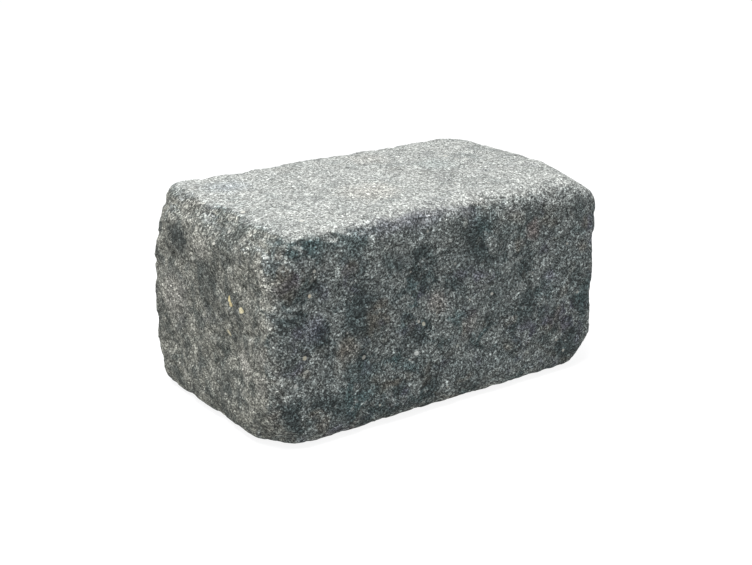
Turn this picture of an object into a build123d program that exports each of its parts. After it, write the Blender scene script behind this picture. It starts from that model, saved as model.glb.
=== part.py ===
"""Tumbled concrete wall block: one solid unit, pressed in a mould and then tumbled.

The block stands on its bed, +Z up, with its length along X and its depth along Y.
The origin is the middle of the underside.  All sizes are in millimetres.
A corner, an edge or a side is named by signs of X, Y and Z, as seen from the block's middle,
with a 0 for each direction that it runs in.
"""

import os

from build123d import *

# The block as it leaves the mould
length = 290.0
depth = 175.0
height = 150.0

# Tumbling rolls every edge that the breaks leave to this radius
wear_radius = 14.0

# Edges broken along their whole run: how far the break reaches from the sharp edge
# onto both of its faces, at the edge's low end and at its high end
edge_breaks = {
    (-1, 0, 1): (17.0, 15.0),
    (-1, 1, 0): (12.0, 13.0),
}

# Corners knocked off: how far each break runs from the sharp corner along the
# length, the depth and the height
corner_breaks = {
    (-1, -1, -1): (28.0, 41.0, 37.0),
    (1, -1, -1): (31.0, 41.0, 28.0),
    (-1, 1, -1): (36.0, 18.0, 62.0),
    (1, 1, -1): (32.0, 32.0, 30.0),
    (1, -1, 1): (34.0, 90.0, 19.0),
    (-1, 1, 1): (24.0, 35.0, 80.0),
    (1, 1, 1): (17.0, 41.0, 41.0),
}

# Shell-shaped chips and hollows, each the bite of a large ball: the sharp edge or the side
# that it is on, its place from the middle of that, the ball's radius and the depth of the bite
bites = [
    ((-1, 0, 1), (0.0, -12.0, 0.0), 110.0, 14.0),
    ((0, 1, 1), (-78.0, 0.0, 0.0), 300.0, 8.3),
    ((-1, 1, 0), (0.0, 0.0, 52.0), 45.0, 18.0),
    ((-1, -1, 0), (0.0, 0.0, 38.0), 120.0, 8.0),
    ((-1, 0, 0), (0.0, -36.0, -18.0), 110.0, 3.4),
    ((-1, 0, 0), (0.0, 8.0, 24.0), 120.0, 3.0),
    ((-1, 0, 0), (0.0, 34.0, -30.0), 100.0, 3.2),
    ((0, -1, 0), (-92.0, 0.0, 20.0), 150.0, 2.6),
    ((0, -1, 0), (-58.0, 0.0, -28.0), 190.0, 2.4),
    ((0, -1, 0), (-8.0, 0.0, 18.0), 240.0, 2.6),
    ((0, -1, 0), (40.0, 0.0, -24.0), 170.0, 2.6),
    ((0, -1, 0), (86.0, 0.0, 16.0), 160.0, 2.4),
    ((1, 0, 0), (0.0, -20.0, 14.0), 130.0, 3.0),
    ((1, 0, 0), (0.0, 22.0, -22.0), 120.0, 3.2),
    ((0, 1, 0), (84.0, 0.0, -12.0), 170.0, 2.6),
    ((0, 1, 0), (30.0, 0.0, 22.0), 200.0, 2.4),
    ((0, 1, 0), (-26.0, 0.0, -24.0), 180.0, 2.6),
    ((0, 1, 0), (-80.0, 0.0, 14.0), 160.0, 2.5),
]

half_size = Vector(length / 2, depth / 2, height / 2)
middle = Vector(0, 0, half_size.Z)
axes = [Vector(1, 0, 0), Vector(0, 1, 0), Vector(0, 0, 1)]


def sharp_point(signs):
    """The sharp corner that these signs name, or the middle of the sharp edge or side."""
    return middle + Vector(*(sign * half for sign, half in zip(signs, half_size)))


def facing_out(sharp, on_first, on_second, on_third):
    """The plane through three points that faces the sharp material it takes off."""
    outward = (on_second - on_first).cross(on_third - on_first)
    if outward.dot(sharp - on_first) < 0:
        outward = -outward
    return Plane(origin=on_first, z_dir=outward)


def edge_plane(edge, reach_low, reach_high):
    """The plane that breaks off one edge, deeper at one end than at the other."""
    run = edge.index(0)
    one, other = (axis * sign for axis, sign in zip(axes, edge) if sign)
    to_end = axes[run] * list(half_size)[run]
    low_end = sharp_point(edge) - to_end
    high_end = sharp_point(edge) + to_end
    return facing_out(
        low_end,
        low_end - one * reach_low,
        low_end - other * reach_low,
        high_end - one * reach_high,
    )


def corner_plane(corner, reaches):
    """The plane that breaks off one corner."""
    sharp = sharp_point(corner)
    ends = [sharp - axis * sign * reach for axis, sign, reach in zip(axes, corner, reaches)]
    return facing_out(sharp, *ends)


def ball_centre(signs, place, ball, bite):
    """The centre of the ball that bites this deep into one sharp edge or side."""
    return sharp_point(signs) + Vector(*place) + Vector(*signs).normalized() * (ball - bite)


with BuildPart() as wall_block:
    with BuildSketch() as bed:
        Rectangle(length, depth)
    extrude(amount=height)

    for edge, reaches in edge_breaks.items():
        split(bisect_by=edge_plane(edge, *reaches), keep=Keep.BOTTOM)
    for corner, reaches in corner_breaks.items():
        split(bisect_by=corner_plane(corner, reaches), keep=Keep.BOTTOM)
    fillet(wall_block.edges(), radius=wear_radius)

    for signs, place, ball, bite in bites:
        with Locations(ball_centre(signs, place, ball, bite)):
            Sphere(ball, mode=Mode.SUBTRACT)

wall_block.part.label = "wall_block"

os.makedirs("parts", exist_ok=True)
export_step(wall_block.part, "parts/wall_block.step")
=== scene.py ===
import math

import bpy
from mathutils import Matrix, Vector


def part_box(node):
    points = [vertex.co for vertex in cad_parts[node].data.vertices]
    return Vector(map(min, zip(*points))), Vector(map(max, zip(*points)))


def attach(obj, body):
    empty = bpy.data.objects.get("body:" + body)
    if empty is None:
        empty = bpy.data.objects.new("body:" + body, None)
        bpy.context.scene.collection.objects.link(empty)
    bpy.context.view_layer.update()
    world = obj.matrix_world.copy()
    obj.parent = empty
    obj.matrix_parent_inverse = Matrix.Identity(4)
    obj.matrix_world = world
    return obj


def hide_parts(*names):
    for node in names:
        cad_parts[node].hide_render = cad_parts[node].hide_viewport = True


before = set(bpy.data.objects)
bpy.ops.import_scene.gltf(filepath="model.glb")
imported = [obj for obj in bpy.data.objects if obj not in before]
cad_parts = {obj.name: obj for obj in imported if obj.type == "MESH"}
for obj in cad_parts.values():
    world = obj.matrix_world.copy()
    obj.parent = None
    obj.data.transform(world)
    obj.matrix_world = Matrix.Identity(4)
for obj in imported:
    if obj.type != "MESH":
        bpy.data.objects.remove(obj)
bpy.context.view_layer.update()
scene = bpy.context.scene
scene.view_settings.view_transform = "Standard"
print("frame loaded:", sorted(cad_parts))


def hexColour(text):  # sRGB hex to linear
    parts = [int(text[i:i + 2], 16) / 255 for i in (1, 3, 5)]
    linear = [c / 12.92 if c <= 0.04045 else ((c + 0.055) / 1.055) ** 2.4 for c in parts]
    return (*linear, 1.0)


def metres(sizeMm):
    return sizeMm / 1000


def perMetre(sizeMm):  # texture scale for a pattern whose features are this many mm across
    return 1000 / sizeMm


def emptyTree(owner):
    owner.use_nodes = True
    owner.node_tree.nodes.clear()
    return owner.node_tree


def addNode(tree, name, kind, inputs=(), **settings):  # an input "node:output" is a link
    node = tree.nodes.new(kind)
    node.name = name
    for setting, value in settings.items():
        setattr(node, setting, value)
    for socket, value in dict(inputs).items():
        if isinstance(value, str):
            source, output = value.split(":")
            outputs = tree.nodes[source].outputs
            tree.links.new(outputs[int(output) if output.isdigit() else output], node.inputs[socket])
        else:
            node.inputs[socket].default_value = value


# camera: the photograph's view of the left end, the front and the top
view = {
    "azimuth": -35.76, "elevation": 18.55, "tilt": 18.85,  # degrees
    "distance": 0.969,  # metres from the block's middle
    "lens": 62.6, "sensor": 36.0,  # mm
}
lowCorner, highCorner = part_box("wall_block")
blockMiddle = (lowCorner + highCorner) / 2
blockSize = highCorner - lowCorner


def awayFromBlock(azimuth, elevation):
    turn, rise = math.radians(azimuth), math.radians(elevation)
    return Vector((math.sin(turn) * math.cos(rise), -math.cos(turn) * math.cos(rise), math.sin(rise)))


bpy.ops.object.camera_add(
    location=blockMiddle + awayFromBlock(view["azimuth"], view["elevation"]) * view["distance"],
    rotation=awayFromBlock(view["azimuth"], view["tilt"]).to_track_quat("Z", "Y").to_euler(),
)
camera = bpy.context.object
camera.name = "photoCamera"
camera.data.lens = view["lens"]
camera.data.sensor_width = view["sensor"]
scene.camera = camera
print("camera set")

# light: a wide soft box overhead, a little to the left, an even sky and a white paper floor
light = {
    "keyPlace": (-0.50, -0.22, 1.65), "keySize": 1.0, "keyPower": 42.0,  # metres and watts
    "skyColour": "#f6f8ff", "skyStrength": 0.52, "skyShown": 1.0,
    "floorSize": 12.0, "floorBounce": "#b4b4b1", "floorShown": 0.89, "floorShade": "#7a7a7a",
    "white": "#ffffff",
}
bpy.ops.object.light_add(type="AREA", location=light["keyPlace"])
keyLight = bpy.context.object
keyLight.name = "softBox"
keyLight.data.shape = "DISK"
keyLight.data.size = light["keySize"]
keyLight.data.energy = light["keyPower"]
keyLight.rotation_euler = (Vector(light["keyPlace"]) - blockMiddle).to_track_quat("Z", "Y").to_euler()


def addSeen(tree):  # 1 for what the eye sees, straight, in gloss or through glass, and 0 for bounced light
    addNode(tree, "path", "ShaderNodeLightPath")
    addNode(tree, "seenOrGloss", "ShaderNodeMath", {0: "path:Is Camera Ray", 1: "path:Is Glossy Ray"},
            operation="MAXIMUM")
    addNode(tree, "seen", "ShaderNodeMath", {0: "seenOrGloss:0", 1: "path:Is Transmission Ray"},
            operation="MAXIMUM")


sky = bpy.data.worlds.new("studioSky")
scene.world = sky
tree = emptyTree(sky)
addSeen(tree)
addNode(tree, "fill", "ShaderNodeBackground", {
    "Color": hexColour(light["skyColour"]), "Strength": light["skyStrength"]})
addNode(tree, "white", "ShaderNodeBackground", {
    "Color": hexColour(light["white"]), "Strength": light["skyShown"]})
addNode(tree, "both", "ShaderNodeMixShader", {0: "seen:0", 1: "fill:0", 2: "white:0"})
addNode(tree, "world", "ShaderNodeOutputWorld", {"Surface": "both:0"})

bpy.ops.mesh.primitive_plane_add(size=light["floorSize"], location=(0, 0, 0))
floor = bpy.context.object
floor.name = "studioFloor"
paper = bpy.data.materials.new("whitePaperSweep")  # white to the eye, with the block's shadow on it
tree = emptyTree(paper)
addSeen(tree)
addNode(tree, "bounce", "ShaderNodeBsdfDiffuse", {"Color": hexColour(light["floorBounce"])})
addNode(tree, "shade", "ShaderNodeBsdfDiffuse", {"Color": hexColour(light["floorShade"])})
addNode(tree, "glow", "ShaderNodeEmission", {
    "Color": hexColour(light["white"]), "Strength": light["floorShown"]})
addNode(tree, "shown", "ShaderNodeAddShader", {0: "shade:0", 1: "glow:0"})
addNode(tree, "both", "ShaderNodeMixShader", {0: "seen:0", 1: "bounce:0", 2: "shown:0"})
addNode(tree, "paper", "ShaderNodeOutputMaterial", {"Surface": "both:0"})
floor.data.materials.append(paper)
print("light and floor set")

# block: a cube cut into small cells, drawn onto the solid's worn form, softened and then roughened
block = {
    "name": "tumbledBlock",
    "cellMm": 1.61,
    "relaxFactor": 0.5, "relaxSteps": 60,
    # how rough each side is, and how its roughness fades into the next side's
    "rough": {"end": 1.0, "farEnd": 0.65, "longSide": 0.65, "bed": 0.45},
    "fadeFactor": 0.5, "fadeSteps": 6,
    # relief cut into the worn form: feature size and depth in mm, noise depth, and the noise
    # levels where a hollow is deepest and where the surface stays whole
    "relief": {
        "lump": (22.0, 2.6, 2, 0.22, 0.60),
        "pit": (7.5, 1.4, 1, 0.25, 0.52),
        "pebble": (4.2, 0.9, 1, 0.25, 0.70),
    },
}
bpy.ops.object.select_all(action="DESELECT")
bpy.ops.mesh.primitive_cube_add(size=1.0, location=blockMiddle, scale=blockSize)
body = bpy.context.object
body.name = block["name"]
bpy.ops.object.transform_apply(location=True, rotation=True, scale=True)

bpy.ops.object.mode_set(mode="EDIT")
bpy.ops.mesh.select_mode(type="EDGE")
for axis in range(3):
    halfCells = round(blockSize[axis] / metres(2 * block["cellMm"]))
    for cuts in (halfCells - 1, 1):  # two passes, because one makes no more than 100 cuts
        bpy.ops.mesh.select_all(action="DESELECT")
        bpy.ops.object.mode_set(mode="OBJECT")
        points = body.data.vertices
        for edge in body.data.edges:
            run = points[edge.vertices[1]].co - points[edge.vertices[0]].co
            edge.select = abs(run[axis]) > run.length / 2
        bpy.ops.object.mode_set(mode="EDIT")
        bpy.ops.mesh.subdivide(number_cuts=cuts)
bpy.ops.object.mode_set(mode="OBJECT")
print("block cut into cells:", len(body.data.polygons))

wrap = body.modifiers.new("wornForm", "SHRINKWRAP")
wrap.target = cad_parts["wall_block"]
wrap.wrap_method = "NEAREST_SURFACEPOINT"
bpy.ops.object.modifier_apply(modifier=wrap.name)

relax = body.modifiers.new("softForm", "SMOOTH")
relax.factor = block["relaxFactor"]
relax.iterations = block["relaxSteps"]
bpy.ops.object.modifier_apply(modifier=relax.name)
print("block drawn onto the worn form")

roughness = body.vertex_groups.new(name="roughness")
for vertex in body.data.vertices:
    across, along, up = (abs(n) for n in vertex.normal)
    steepest = max(across, along, up)
    side = "end" if vertex.normal.x < 0 else "farEnd"
    if across < steepest:
        side = "longSide" if along == steepest else "bed"
    roughness.add([vertex.index], block["rough"][side], "REPLACE")
bpy.ops.object.mode_set(mode="EDIT")
bpy.ops.mesh.select_all(action="SELECT")
bpy.ops.object.vertex_group_smooth(factor=block["fadeFactor"], repeat=block["fadeSteps"])
bpy.ops.object.mode_set(mode="OBJECT")

for label, (featureMm, depthMm, noiseDepth, deepest, whole) in block["relief"].items():
    texture = bpy.data.textures.new(label, "CLOUDS")
    texture.noise_scale = metres(featureMm)
    texture.noise_depth = noiseDepth
    texture.noise_basis = "ORIGINAL_PERLIN"
    texture.use_color_ramp = True
    texture.color_ramp.interpolation = "EASE"
    for stop, level, grey in zip(texture.color_ramp.elements, (deepest, whole), (0, 1)):
        stop.position = level
        stop.color = (grey, grey, grey, 1)
    relief = body.modifiers.new(label, "DISPLACE")
    relief.texture = texture
    relief.texture_coords = "LOCAL"
    relief.strength = metres(depthMm)
    relief.mid_level = 1.0  # inwards only, so that nothing passes the solid's box
    relief.vertex_group = "roughness"
    bpy.ops.object.modifier_apply(modifier=relief.name)
bpy.ops.object.shade_smooth()
print("block roughened:", sum(len(p.vertices) - 2 for p in body.data.polygons), "triangles")

# dry-cast concrete, pressed with dark pigment and tumbled: a dull charcoal paste that clouds towards
# slate, teal, violet and brown, paler where the drum rubbed it, on the ends and the edges, painted paler on
# the end for the light from the left, and palest on the top with its dust and painted light from above, and
# full of sand whose grains each have their own tone
look = {
    "charcoal": "#3e4646", "slate": "#606665", "brown": "#6c655b", "violet": "#595764", "teal": "#3f5253",
    # the end's paste is its own warmer colour, painted paler as well for the light from the left
    "wornFront": "#717674", "endPaste": "#595b56", "rubbedEnd": "#86867e",
    # the top's pale colour is dust and painted light from above
    "rubbedEdge": "#969690", "dustyTop": "#959793",
    # the pores' near-black is painted shade
    "stone": "#b4b3ab", "pore": "#1f2425",
    "cloudMm": 36.0, "patchMm": 24.0, "tealMm": 31.2, "scuffMm": 13.0,
    "sandMm": 1.5, "fineMm": 0.85, "dirtMm": 2.6, "stoneMm": 6.5, "poreMm": 4.0,
    "wobbleMm": 12.0, "wobbleReachMm": 16.0,  # size and reach of the bends in a wandering border
    "frontEdgeMm": (-84.0, -75.0),  # the end's own paste, painted paler for the light from the left, starts and is full this far along the depth
    "dustAndTopLightToward": (0.2, -0.26, 0.945),  # dust and painted light from above lie on the top and over its front edge
    "markAcross": 0.15,  # a mark fades this much more slowly across its side than along it
    "stainCore": 0.2, "pebbleCore": 0.6,  # share of a mark's radius that it covers in full
    "dirtOffset": (1, 6, 3), "dirtLevels": (0.30, 0.70), "dirtTones": (0.60, 1.40),
    "evenEnd": 0.2, "evenTop": 0.32,  # how far rubbing and dust even out the grain
    "stoneCover": (0.40, 1.00), "poreCover": 0.75,
    "bumpMm": 0.6, "bumpStrength": 0.7, "roughness": 0.92, "specular": 0.3,
}
smoothStep = {"interpolation_type": "SMOOTHSTEP"}
colourMix = {"data_type": "RGBA"}
concrete = bpy.data.materials.new("tumbledDryCastConcrete")
tree = emptyTree(concrete)
addNode(tree, "place", "ShaderNodeTexCoord")

# the same place, moved about a little, for borders that wander
addNode(tree, "wobbleNoise", "ShaderNodeTexNoise", {
    "Vector": "place:Object", "Scale": perMetre(look["wobbleMm"]), "Detail": 3.0})
addNode(tree, "wobbleMiddle", "ShaderNodeVectorMath", {0: "wobbleNoise:Color", 1: (0.5, 0.5, 0.5)},
        operation="SUBTRACT")
addNode(tree, "wobbled", "ShaderNodeVectorMath", {
    0: "wobbleMiddle:0", 1: [metres(look["wobbleReachMm"])] * 3, 2: "place:Object"},
    operation="MULTIPLY_ADD")

# clouds of pigment, each laid over the colour under it
clouds = {  # name: feature size, offset, level where it starts, level where it is full, strength
    "slate": (look["cloudMm"], (0, 0, 0), 0.41, 0.59, 1.0),
    "brown": (look["patchMm"], (3, 1, 2), 0.52, 0.70, 0.50),
    "violet": (look["patchMm"], (7, 4, 1), 0.54, 0.72, 0.50),
    "teal": (look["tealMm"], (2, 8, 5), 0.50, 0.68, 0.50),
}
under = hexColour(look["charcoal"])
for name, (sizeMm, offset, start, full, strength) in clouds.items():
    addNode(tree, name + "Place", "ShaderNodeMapping", {"Vector": "place:Object", "Location": offset})
    addNode(tree, name + "Noise", "ShaderNodeTexNoise", {
        "Vector": name + "Place:0", "Scale": perMetre(sizeMm), "Detail": 2.0, "Roughness": 0.55,
        "Distortion": 0.4})
    addNode(tree, name + "Level", "ShaderNodeMapRange", {
        "Value": name + "Noise:Fac", "From Min": start, "From Max": full, "To Max": strength}, **smoothStep)
    addNode(tree, name, "ShaderNodeMix", {
        0: name + "Level:0", 6: under, 7: hexColour(look[name])}, **colourMix)
    under = name + ":2"

# what the drum rubbed, the end's paste painted paler for the light from the left, and the top's dust with
# painted light from above, found from the way each place faces; on an end it starts a little behind the
# front
addNode(tree, "facing", "ShaderNodeSeparateXYZ", {0: "place:Normal"})
for axis, name in enumerate(("acrossX", "acrossY", "acrossZ")):
    addNode(tree, name, "ShaderNodeMath", {0: f"facing:{axis}"}, operation="ABSOLUTE")
addNode(tree, "flatXY", "ShaderNodeMath", {0: "acrossX:0", 1: "acrossY:0"}, operation="MAXIMUM")
addNode(tree, "flat", "ShaderNodeMath", {0: "flatXY:0", 1: "acrossZ:0"}, operation="MAXIMUM")
addNode(tree, "upFront", "ShaderNodeVectorMath", {0: "place:Normal", 1: look["dustAndTopLightToward"]},
        operation="DOT_PRODUCT")
frontStart, frontFull = look["frontEdgeMm"]
addNode(tree, "spot", "ShaderNodeSeparateXYZ", {0: "wobbled:0"})
addNode(tree, "behindFront", "ShaderNodeMapRange", {
    "Value": "spot:1", "From Min": metres(frontStart), "From Max": metres(frontFull)}, **smoothStep)
addNode(tree, "endFace", "ShaderNodeMath", {0: "acrossX:0", 1: "behindFront:0"}, operation="MULTIPLY")
addNode(tree, "scuff", "ShaderNodeTexNoise", {
    "Vector": "place:Object", "Scale": perMetre(look["scuffMm"]), "Detail": 5.0, "Roughness": 0.65})
rubs = {  # name: faces that count, from, to; scuff from, to; least and most cover
    "wornFront": ("acrossY:0", 0.60, 0.95, 0.48, 0.60, 0.00, 0.90),
    # the end's own paste, painted paler too for the light from the left
    "endPaste": ("endFace:0", 0.35, 0.80, 0.36, 0.64, 0.75, 0.75),
    "rubbedEnd": ("endFace:0", 0.62, 0.95, 0.39, 0.61, 0.00, 0.95),
    "rubbedEdge": ("flat:0", 0.98, 0.82, 0.38, 0.62, 0.00, 0.28),
    # dust on the top, with painted light from above
    "dustyTop": ("upFront:1", 0.60, 0.94, 0.30, 0.62, 0.60, 1.00),
}
for name, (faces, start, full, scuffStart, scuffFull, least, most) in rubs.items():
    addNode(tree, name + "Where", "ShaderNodeMapRange", {
        "Value": faces, "From Min": start, "From Max": full}, **smoothStep)
    addNode(tree, name + "Scuff", "ShaderNodeMapRange", {
        "Value": "scuff:Fac", "From Min": scuffStart, "From Max": scuffFull,
        "To Min": least, "To Max": most}, **smoothStep)
    addNode(tree, name + "Level", "ShaderNodeMath", {0: name + "Where:0", 1: name + "Scuff:0"},
            operation="MULTIPLY")
    addNode(tree, name, "ShaderNodeMix", {
        0: name + "Level:0", 6: under, 7: hexColour(look[name])}, **colourMix)
    under = name + ":2"
print("concrete clouded and rubbed")


def addMarks(kind, marks, place, core, under):  # each mark is full in its core and fades to its radius
    for number, (centreMm, radiusMm, across, tint, cover) in enumerate(marks):
        name = kind + str(number)
        scale = [perMetre(radiusMm)] * 3
        scale[across] *= look["markAcross"]
        addNode(tree, name + "Place", "ShaderNodeMapping", {
            "Vector": place, "Scale": scale,
            "Location": [-metres(at) * times for at, times in zip(centreMm, scale)]})
        addNode(tree, name + "Away", "ShaderNodeVectorMath", {0: name + "Place:0"}, operation="LENGTH")
        addNode(tree, name + "Level", "ShaderNodeMapRange", {
            "Value": name + "Away:1", "From Min": 1.0, "From Max": core, "To Max": cover}, **smoothStep)
        addNode(tree, name, "ShaderNodeMix", {
            0: name + "Level:0", 6: under, 7: hexColour(tint)}, **colourMix)
        under = name + ":2"
    return under


# marks where the photograph shows them, with painted shade and painted light on the end's relief among
# them: centre and radius in mm, side, colour, cover
end, front, top = range(3)  # a mark on this side lies across this axis and reaches furthest along it
stains = [
    ((-143, 33, 121), 20, end, "#393e3d", 0.70),  # painted shade in the hollows, over darker mottling
    ((-143, -4, 102), 25, end, "#3f4442", 0.70),
    ((-143, -30, 134), 20, end, "#444947", 0.60),
    ((-143, -24, 30), 24, end, "#444947", 0.45),
    ((-143, 2, 122), 15, end, "#9c9b93", 0.60),  # pale mottling, with painted light on the knobs
    ((-143, -48, 54), 14, end, "#a9a79f", 0.75),
    ((-143, 44, 78), 25, end, "#9c9a93", 0.60),
    ((-143, -78, 120), 8, end, "#a5a49b", 0.60),  # rubbed pale beside the near edge
    ((-143, -78, 105), 8, end, "#a5a49b", 0.60),
    ((-143, -78, 91), 8, end, "#a5a49b", 0.50),
    ((-143, -76, 68), 13, end, "#908f88", 0.65),
    ((-143, -76, 46), 13, end, "#908f88", 0.60),
    ((-95, -86, 132), 18, front, "#7d817e", 0.35),  # dust on the upper front
    ((-52, -86, 130), 24, front, "#7d817e", 0.40),
    ((-2, -86, 132), 26, front, "#7d817e", 0.40),
    ((50, -86, 130), 26, front, "#7d817e", 0.40),
    ((98, -86, 128), 24, front, "#7d817e", 0.40),
    ((-10, -86, 82), 13, front, "#79706a", 0.42),  # brown and violet stains
    ((19, -86, 60), 12, front, "#75706a", 0.42),
    ((-85, -86, 64), 14, front, "#6f685f", 0.45),
    ((-110, -86, 85), 14, front, "#4b4b5c", 0.45),
    ((76, -86, 118), 10, front, "#7a6762", 0.40),
    ((-32, -85, 144), 10, end, "#67686d", 0.60),  # wear that runs along the upper front edge
    ((112, -85, 139), 12, end, "#8d908d", 0.50),
    ((-100, 42, 149), 24, top, "#868d90", 0.45),  # faint clouds in the dust
    ((-25, -28, 149), 30, top, "#9d9a92", 0.45),
    ((62, 8, 149), 26, top, "#8e9592", 0.40),
    ((28, 52, 149), 24, top, "#9c9a94", 0.40),
]
# stains, dust and wear, with painted shade and painted light on the end
under = addMarks("stain", stains, "wobbled:0", look["stainCore"], under)

# sand: every grain has its own tone, dirt lies between the grains, and dust evens them out
grains = {  # name: grain size, how few of the grains are pale, darkest and palest tone
    "sand": (look["sandMm"], 2.2, 0.62, 1.9),
    "fine": (look["fineMm"], 2.0, 0.35, 2.6),
}
for name, (sizeMm, skew, darkest, palest) in grains.items():
    addNode(tree, name, "ShaderNodeTexVoronoi", {"Vector": "place:Object", "Scale": perMetre(sizeMm)})
    addNode(tree, name + "Dice", "ShaderNodeSeparateColor", {0: name + ":Color"})
    addNode(tree, name + "Skew", "ShaderNodeMath", {0: name + "Dice:0", 1: skew}, operation="POWER")
    addNode(tree, name + "Tone", "ShaderNodeMapRange", {
        "Value": name + "Skew:0", "To Min": darkest, "To Max": palest})
dirtLow, dirtHigh = look["dirtLevels"]
dirtDark, dirtPale = look["dirtTones"]
addNode(tree, "dirtPlace", "ShaderNodeMapping", {
    "Vector": "place:Object", "Location": look["dirtOffset"]})
addNode(tree, "dirt", "ShaderNodeTexNoise", {
    "Vector": "dirtPlace:0", "Scale": perMetre(look["dirtMm"]), "Detail": 3.0, "Roughness": 0.7})
addNode(tree, "dirtTone", "ShaderNodeMapRange", {
    "Value": "dirt:Fac", "From Min": dirtLow, "From Max": dirtHigh, "To Min": dirtDark, "To Max": dirtPale})
addNode(tree, "sandAndDirt", "ShaderNodeMath", {0: "sandTone:0", 1: "dirtTone:0"}, operation="MULTIPLY")
addNode(tree, "grainTone", "ShaderNodeMath", {0: "sandAndDirt:0", 1: "fineTone:0"}, operation="MULTIPLY")
addNode(tree, "grainOnEnds", "ShaderNodeMath", {0: "rubbedEndWhere:0", 1: -look["evenEnd"], 2: 1.0},
        operation="MULTIPLY_ADD")
addNode(tree, "grainShown", "ShaderNodeMath", {
    0: "dustyTopWhere:0", 1: -look["evenTop"], 2: "grainOnEnds:0"}, operation="MULTIPLY_ADD")
addNode(tree, "grainValue", "ShaderNodeMath", {0: "grainTone:0", 1: "grainShown:0"}, operation="POWER")
addNode(tree, "grains", "ShaderNodeHueSaturation", {"Value": "grainValue:0", "Color": under})

# a few pale stones among the sand, and pores left by the dry mix, painted dark for the shade in them
dots = {  # name: spacing, share of places left bare, largest radius and soft rim as shares of the spacing
    "stone": (look["stoneMm"], 0.88, 0.28, 0.06),
    "pore": (look["poreMm"], 0.72, 0.30, 0.10),
}
for name, (spacingMm, bare, largest, rim) in dots.items():
    addNode(tree, name, "ShaderNodeTexVoronoi", {"Vector": "place:Object", "Scale": perMetre(spacingMm)})
    addNode(tree, name + "Dice", "ShaderNodeSeparateColor", {0: name + ":Color"})
    addNode(tree, name + "Size", "ShaderNodeMapRange", {
        "Value": name + "Dice:0", "From Min": bare, "To Max": largest})
    addNode(tree, name + "Inside", "ShaderNodeMath", {0: name + "Size:0", 1: name + ":Distance"},
            operation="SUBTRACT")
    addNode(tree, name + "Edge", "ShaderNodeMapRange", {
        "Value": name + "Inside:0", "From Max": rim}, **smoothStep)
leastCover, mostCover = look["stoneCover"]
addNode(tree, "stoneCover", "ShaderNodeMapRange", {
    "Value": "stoneDice:2", "To Min": leastCover, "To Max": mostCover})
addNode(tree, "stoneShown", "ShaderNodeMath", {0: "stoneEdge:0", 1: "stoneCover:0"}, operation="MULTIPLY")
addNode(tree, "stones", "ShaderNodeMix", {
    0: "stoneShown:0", 6: "grains:0", 7: hexColour(look["stone"])}, **colourMix)

pebbles = [
    ((-143, -36, 97), 2.6, end, "#d5c798", 0.95),
    ((-143, -38, 94), 2.2, end, "#d0c092", 0.95),
    ((-143, -50, 93), 2.4, end, "#dcd2ae", 0.95),
    ((-143, -30, 71), 3.0, end, "#d8d0b4", 0.95),
    ((-114, -86, 107), 1.6, front, "#c2b9a6", 0.90),
    ((-119, -86, 66), 1.8, front, "#b9b39f", 0.85),
    ((-126, -86, 48), 2.0, front, "#b7b9b5", 0.85),
    ((-28, -86, 48), 2.1, front, "#c4c8c4", 0.90),
    ((-22, -86, 68), 1.8, front, "#b5b3a4", 0.85),
    ((8, -86, 45), 1.6, front, "#aaaea6", 0.80),
]
under = addMarks("pebble", pebbles, "place:Object", look["pebbleCore"], "stones:2")
# painted shade in the pores
addNode(tree, "poreShown", "ShaderNodeMath", {0: "poreEdge:0", 1: look["poreCover"]}, operation="MULTIPLY")
addNode(tree, "pores", "ShaderNodeMix", {
    0: "poreShown:0", 6: under, 7: hexColour(look["pore"])}, **colourMix)

# relief too fine for the mesh: domes of sand, dirt and pores
addNode(tree, "domes", "ShaderNodeMath", {0: "dirt:Fac", 1: "sand:Distance"}, operation="SUBTRACT")
addNode(tree, "height", "ShaderNodeMath", {0: "domes:0", 1: "poreShown:0"}, operation="SUBTRACT")
addNode(tree, "bump", "ShaderNodeBump", {
    "Height": "height:0", "Strength": look["bumpStrength"], "Distance": metres(look["bumpMm"])})
addNode(tree, "surface", "ShaderNodeBsdfPrincipled", {
    "Base Color": "pores:2", "Roughness": look["roughness"], "Specular IOR Level": look["specular"],
    "Normal": "bump:0"})
addNode(tree, "concrete", "ShaderNodeOutputMaterial", {"Surface": "surface:0"})
body.data.materials.append(concrete)
print("concrete made")

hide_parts("wall_block")
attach(body, "root")
